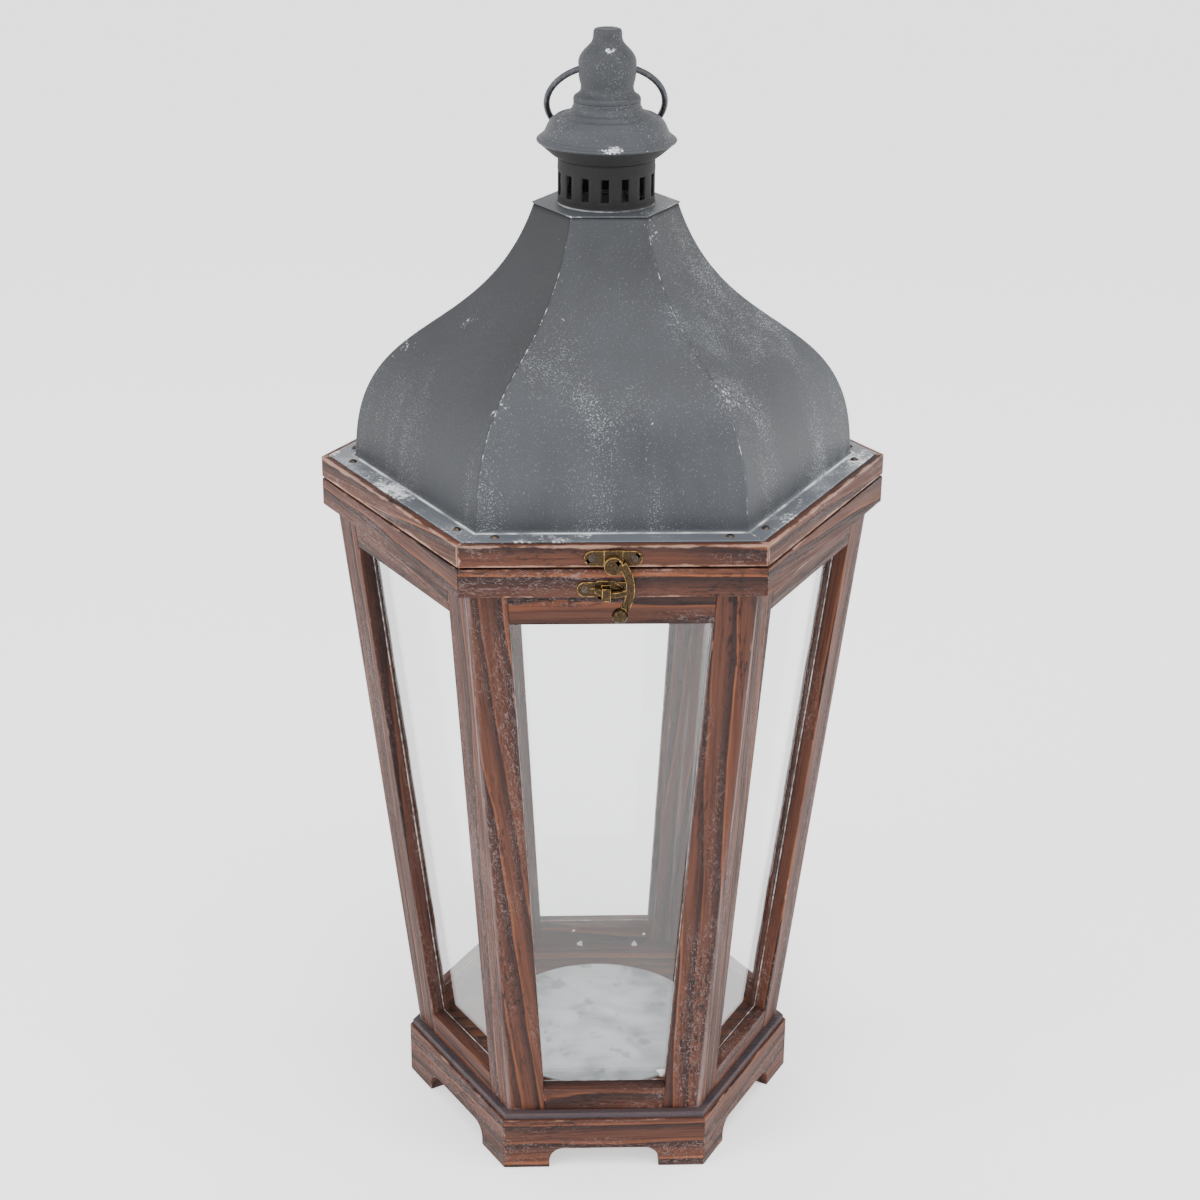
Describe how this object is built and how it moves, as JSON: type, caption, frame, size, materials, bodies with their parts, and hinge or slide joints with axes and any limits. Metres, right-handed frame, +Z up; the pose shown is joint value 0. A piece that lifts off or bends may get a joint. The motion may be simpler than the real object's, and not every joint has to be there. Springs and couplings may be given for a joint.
{
  "type": "candle lantern",
  "caption": "Hexagonal wooden candle lantern with leaning glazed sides, a footed plinth, and a hinged ogee metal roof with a vented chimney, knob and ring.",
  "frame": {"origin": "centre of the lantern at the level that its feet stand on", "axes": "+Z up the lantern's axis; -Y towards the side with the latch; +Y towards the hinges"},
  "size_m": [0.3, 0.2728, 0.6112],
  "materials": {
    "stained_wood": "reddish-brown stain with dark grain, orange streaks and a worn grey-lilac whitewash",
    "galvanised_sheet": "mottled zinc, satin",
    "clear_glass": "clear flat pane, slightly dusty",
    "charcoal_metal": "matte charcoal paint, cloudy, with pale rubbed seams",
    "dark_steel_wire": "dark grey wire, satin",
    "antique_brass": "antique brass, dark in the hollows and bright on the edges",
    "bronzed_screw": "dark bronze"
  },
  "bodies": {
    "base": {"plinth_board_1": "stained_wood", "plinth_board_2": "stained_wood", "plinth_board_3": "stained_wood", "plinth_board_4": "stained_wood", "plinth_board_5": "stained_wood", "plinth_board_6": "stained_wood", "floor_board": "stained_wood", "candle_plate": "galvanised_sheet", "stile_1_left": "stained_wood", "stile_1_right": "stained_wood", "stile_2_left": "stained_wood", "stile_2_right": "stained_wood", "stile_3_left": "stained_wood", "stile_3_right": "stained_wood", "stile_4_left": "stained_wood", "stile_4_right": "stained_wood", "stile_5_left": "stained_wood", "stile_5_right": "stained_wood", "stile_6_left": "stained_wood", "stile_6_right": "stained_wood", "bottom_rail_1": "stained_wood", "bottom_rail_2": "stained_wood", "bottom_rail_3": "stained_wood", "bottom_rail_4": "stained_wood", "bottom_rail_5": "stained_wood", "bottom_rail_6": "stained_wood", "top_rail_1": "stained_wood", "top_rail_2": "stained_wood", "top_rail_3": "stained_wood", "top_rail_4": "stained_wood", "top_rail_5": "stained_wood", "top_rail_6": "stained_wood", "glass_pane_1": "clear_glass", "glass_pane_2": "clear_glass", "glass_pane_3": "clear_glass", "glass_pane_4": "clear_glass", "glass_pane_5": "clear_glass", "glass_pane_6": "clear_glass", "neck_frame": "stained_wood", "catch_plate": "antique_brass", "hinge_body_leaves": "antique_brass", "hinge_pins": "antique_brass", "body_screws": "bronzed_screw"},
    "lid": {"lid_frame": "stained_wood", "roof_panel_1": "charcoal_metal", "roof_panel_2": "charcoal_metal", "roof_panel_3": "charcoal_metal", "roof_panel_4": "charcoal_metal", "roof_panel_5": "charcoal_metal", "roof_panel_6": "charcoal_metal", "roof_top_plate": "charcoal_metal", "vent_collar": "charcoal_metal", "chimney_cap": "charcoal_metal", "finial_knob": "charcoal_metal", "latch_plate": "antique_brass", "latch_rivet": "antique_brass", "hinge_lid_leaves": "antique_brass", "lid_screws": "bronzed_screw"},
    "latch": {"latch_arm": "antique_brass"},
    "ring": {"carry_ring": "dark_steel_wire"}
  },
  "joints": [
    {"name": "lid_hinge", "type": "hinge", "parent": "base", "child": "lid", "pos_m": [0, 0.1325, 0.3763], "axis": [-1, 0, 0], "range_deg": [0, 95]},
    {"name": "latch_swing", "type": "hinge", "parent": "lid", "child": "latch", "pos_m": [0, -0.1299, 0.3788], "axis": [0, -1, 0], "range_deg": [0, 100]},
    {"name": "ring_swing", "type": "hinge", "parent": "lid", "child": "ring", "pos_m": [0, 0, 0.5913], "axis": [1, 0, 0], "range_deg": [0, 278]}
  ]
}
